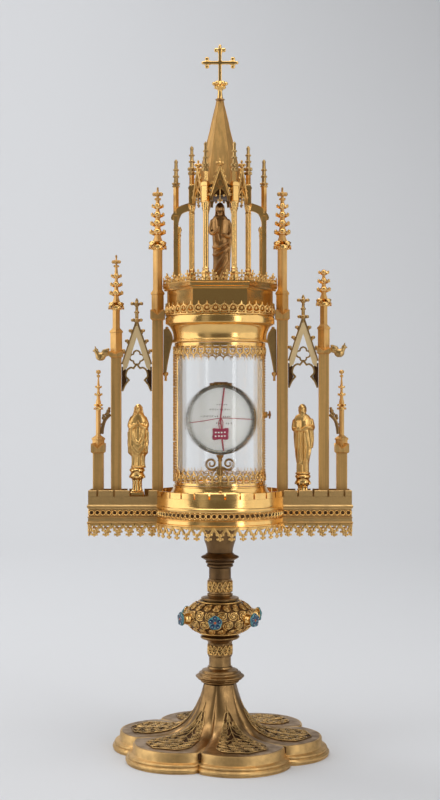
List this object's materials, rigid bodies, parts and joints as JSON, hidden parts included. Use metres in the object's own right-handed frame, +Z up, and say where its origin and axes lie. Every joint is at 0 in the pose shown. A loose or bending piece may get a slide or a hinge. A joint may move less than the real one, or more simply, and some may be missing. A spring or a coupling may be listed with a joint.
{
  "type": "reliquary",
  "caption": "Gilt brass tower reliquary with a round glass chamber, pinnacled side towers with saints, a spired tabernacle, a knobbed stem and a lobed foot.",
  "frame": {"origin": "middle of the foot's underside, on the surface the reliquary stands on", "axes": "+Z up, -Y to the front where the door is, +X to the right seen from the front"},
  "size_m": [0.2244, 0.1826, 0.6],
  "materials": {
    "gilt_brass": "polished gilding, worn a little at the edges",
    "matt_gilt_brass": "satin gilding with a dull olive bloom",
    "aged_brass": "brown patinated brass, polished on the high spots",
    "dark_bronze": "dark cast bronze, rubbed on the high spots",
    "white_metal": "dull silvered metal",
    "enamel": "glossy blue vitreous enamel in brass cells",
    "clear_glass": "clear blown glass"
  },
  "bodies": {
    "reliquary": {"foot": "aged_brass", "stem_lower_collar": "aged_brass", "stem_lower_shaft": "aged_brass", "knob": "aged_brass", "stem_upper_shaft": "aged_brass", "stem_upper_ring": "aged_brass", "stem_funnel": "aged_brass", "knob_boss_1": "enamel", "knob_boss_2": "enamel", "knob_boss_3": "enamel", "knob_boss_4": "enamel", "knob_boss_5": "enamel", "knob_boss_6": "enamel", "platform": "gilt_brass", "platform_cresting": "gilt_brass", "chamber_base": "gilt_brass", "chamber_cap": "gilt_brass", "chamber_back_frame": "gilt_brass", "capsule_stand": "gilt_brass", "crown_drum": "gilt_brass", "crown_drum_cresting": "gilt_brass", "crown_floor_cresting": "gilt_brass", "canopy": "gilt_brass", "cross": "gilt_brass", "column_1": "gilt_brass", "column_2": "gilt_brass", "column_3": "gilt_brass", "column_4": "gilt_brass", "column_5": "gilt_brass", "column_6": "gilt_brass", "gable_left": "gilt_brass", "gable_right": "gilt_brass", "gargoyle_left": "gilt_brass", "gargoyle_right": "gilt_brass", "flyer_left": "gilt_brass", "flyer_right": "gilt_brass", "saint_left": "gilt_brass", "saint_right": "gilt_brass", "pedestal_left": "gilt_brass", "pedestal_right": "gilt_brass", "buttress_left": "gilt_brass", "buttress_right": "gilt_brass", "tower_inner_left": "matt_gilt_brass", "tower_inner_right": "matt_gilt_brass", "tower_outer_left": "matt_gilt_brass", "tower_outer_right": "matt_gilt_brass", "pinnacle_corner_left": "matt_gilt_brass", "pinnacle_corner_right": "matt_gilt_brass", "bracket_left": "matt_gilt_brass", "bracket_right": "matt_gilt_brass", "spire": "matt_gilt_brass", "saint_top": "dark_bronze", "relic_capsule": "white_metal", "chamber_back_glass": "clear_glass"},
    "door": {"door_frame": "gilt_brass", "door_glass": "clear_glass"},
    "catch": {"door_catch": "gilt_brass"}
  },
  "joints": [
    {"name": "door_hinge", "type": "hinge", "parent": "reliquary", "child": "door", "pos_m": [-0.03985, 0, 0.2858], "axis": [0, 0, -1], "range_deg": [0, 65]},
    {"name": "catch_turn", "type": "hinge", "parent": "door", "child": "catch", "pos_m": [0.0418, -0.0028, 0.285], "axis": [1, 0, 0], "range_deg": [0, 90]}
  ]
}
